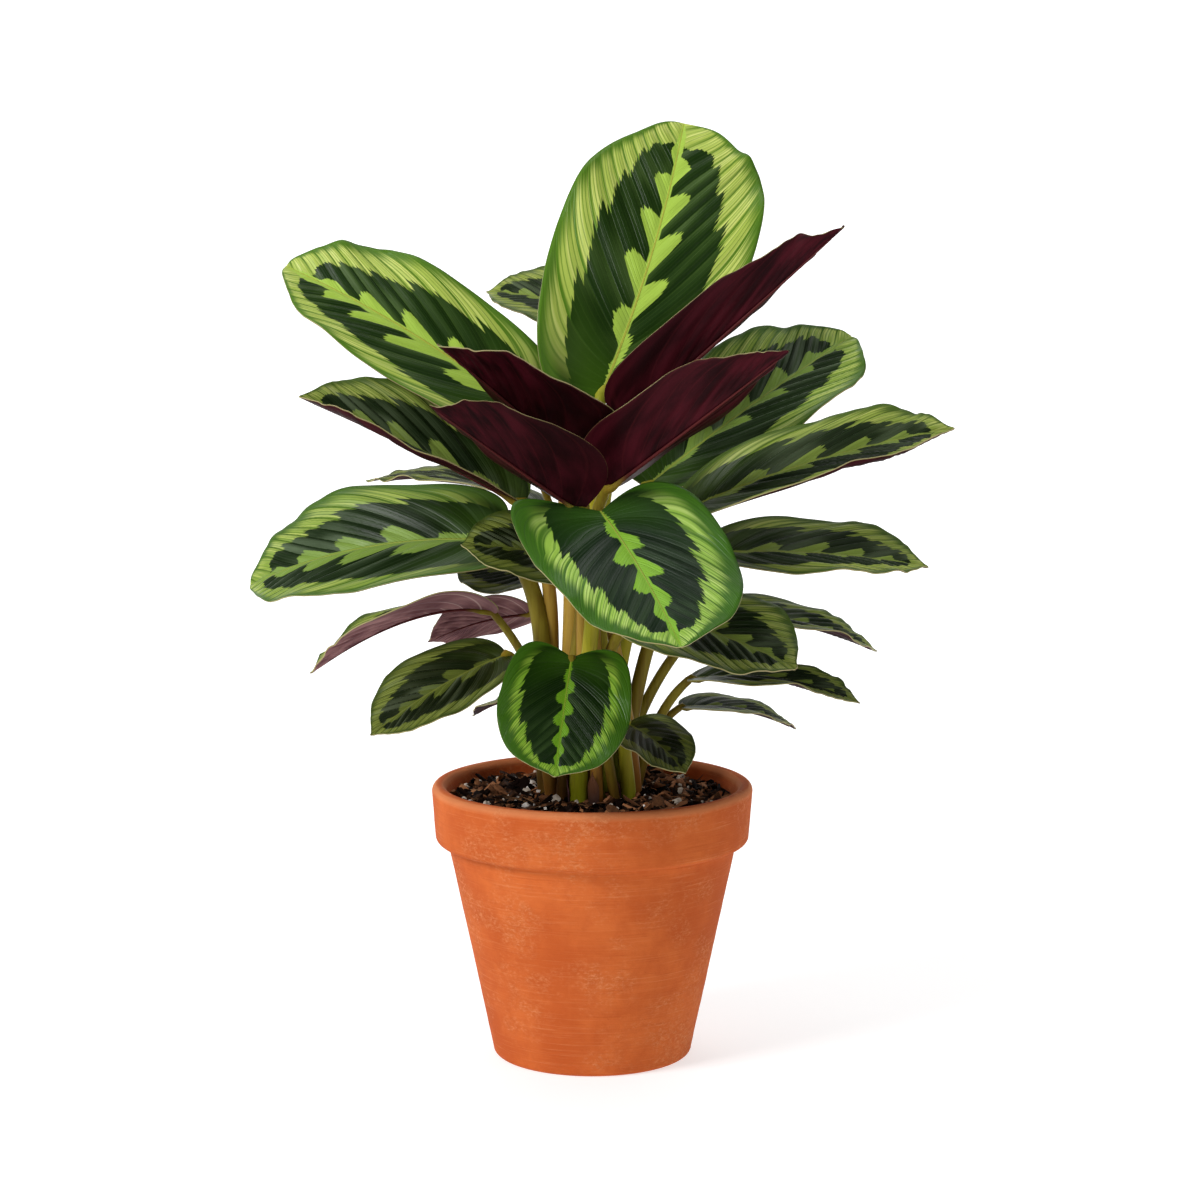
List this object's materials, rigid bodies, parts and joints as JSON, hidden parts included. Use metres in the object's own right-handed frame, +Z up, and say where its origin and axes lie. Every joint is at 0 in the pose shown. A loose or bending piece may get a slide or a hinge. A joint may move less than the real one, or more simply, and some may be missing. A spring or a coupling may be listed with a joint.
{
  "type": "potted calathea",
  "caption": "Potted calathea with broad patterned leaves on upright petioles, standing in a round tapered terracotta pot filled with soil.",
  "frame": {"origin": "centre of the pot's underside, on the surface that the pot stands on", "axes": "+Z up along the pot's axis, -Y towards the plant's front, +X to its right"},
  "size_m": [0.3255, 0.2552, 0.4359],
  "materials": {
    "terracotta": "matt unglazed fired clay with pale scuffs",
    "potting_soil": "coarse dark mix of bark and perlite",
    "leaf_blade": "satin green with a lime feather and band, maroon underneath",
    "petiole": "smooth yellow-green stalk with a tan or reddish foot"
  },
  "bodies": {
    "root": {"pot": "terracotta", "soil": "potting_soil", "leaf_01": "leaf_blade", "petiole_01": "petiole", "leaf_02": "leaf_blade", "petiole_02": "petiole", "leaf_03": "leaf_blade", "petiole_03": "petiole", "leaf_04": "leaf_blade", "petiole_04": "petiole", "leaf_05": "leaf_blade", "petiole_05": "petiole", "leaf_06": "leaf_blade", "petiole_06": "petiole", "leaf_07": "leaf_blade", "petiole_07": "petiole", "leaf_08": "leaf_blade", "petiole_08": "petiole", "leaf_09": "leaf_blade", "petiole_09": "petiole", "leaf_10": "leaf_blade", "petiole_10": "petiole", "leaf_11": "leaf_blade", "petiole_11": "petiole", "leaf_12": "leaf_blade", "petiole_12": "petiole", "leaf_13": "leaf_blade", "petiole_13": "petiole", "leaf_14": "leaf_blade", "petiole_14": "petiole", "leaf_15": "leaf_blade", "petiole_15": "petiole", "leaf_16": "leaf_blade", "petiole_16": "petiole", "leaf_17": "leaf_blade", "petiole_17": "petiole", "leaf_18": "leaf_blade", "petiole_18": "petiole", "leaf_19": "leaf_blade", "petiole_19": "petiole", "leaf_20": "leaf_blade", "petiole_20": "petiole", "leaf_21": "leaf_blade", "petiole_21": "petiole", "leaf_22": "leaf_blade", "petiole_22": "petiole", "leaf_23": "leaf_blade", "petiole_23": "petiole", "leaf_24": "leaf_blade", "petiole_24": "petiole", "leaf_25": "leaf_blade", "petiole_25": "petiole", "leaf_26": "leaf_blade", "petiole_26": "petiole", "leaf_27": "leaf_blade", "petiole_27": "petiole", "leaf_28": "leaf_blade", "petiole_28": "petiole", "leaf_29": "leaf_blade", "petiole_29": "petiole"}
  },
  "joints": []
}
